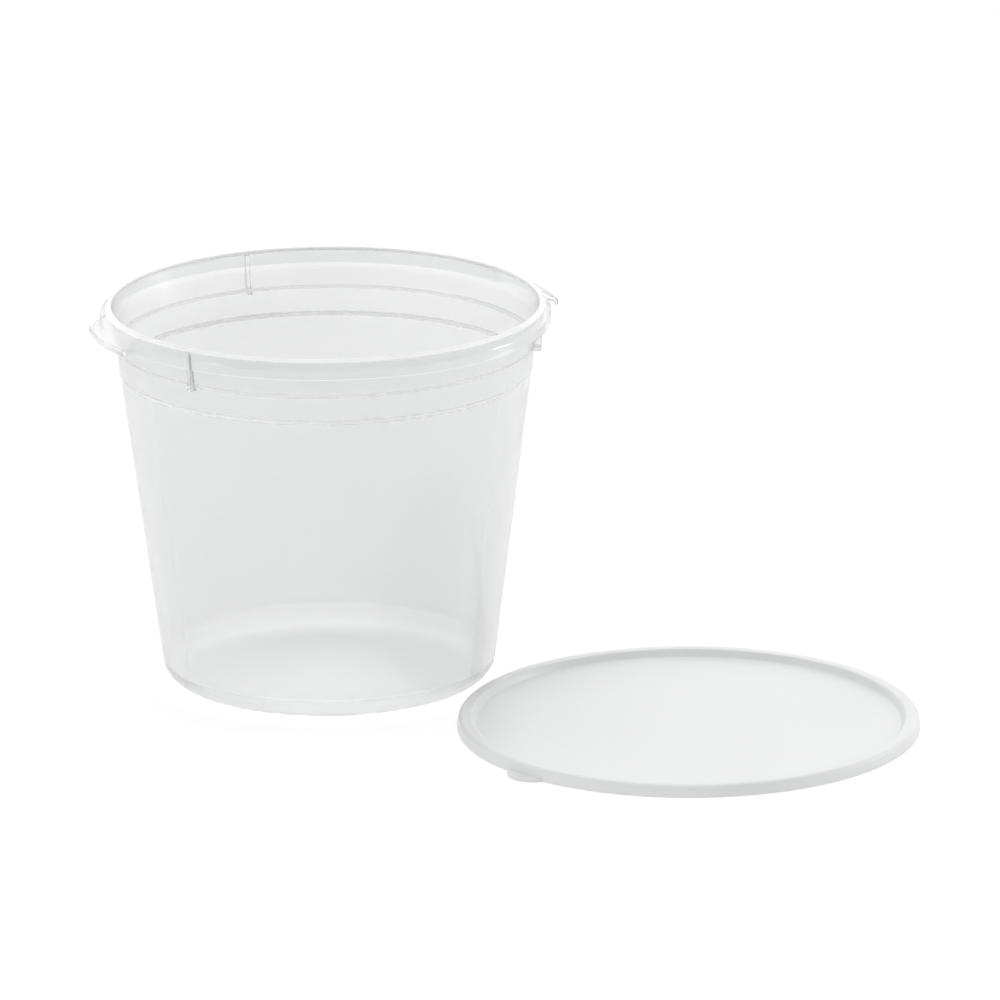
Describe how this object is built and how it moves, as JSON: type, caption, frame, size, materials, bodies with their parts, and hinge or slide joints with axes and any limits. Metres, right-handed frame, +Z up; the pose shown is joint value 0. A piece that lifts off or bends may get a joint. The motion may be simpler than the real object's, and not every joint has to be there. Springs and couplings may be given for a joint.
{
  "type": "round food storage container",
  "caption": "Tall round see-through plastic food tub with finger grips on its rim, and its flat press-on lid lying beside it.",
  "frame": {"origin": "on the table, under the middle of the pair's bounding box", "axes": "+Z up, along the tub's axis; +X from the tub's side towards the lid's side"},
  "size_m": [0.4118, 0.3204, 0.1935],
  "materials": {
    "clear_plastic": "see-through polypropylene, smooth and slightly hazy",
    "milky_plastic": "milky white translucent polypropylene, satin"
  },
  "bodies": {
    "root": {"tub": "clear_plastic", "lid": "milky_plastic"}
  },
  "joints": []
}
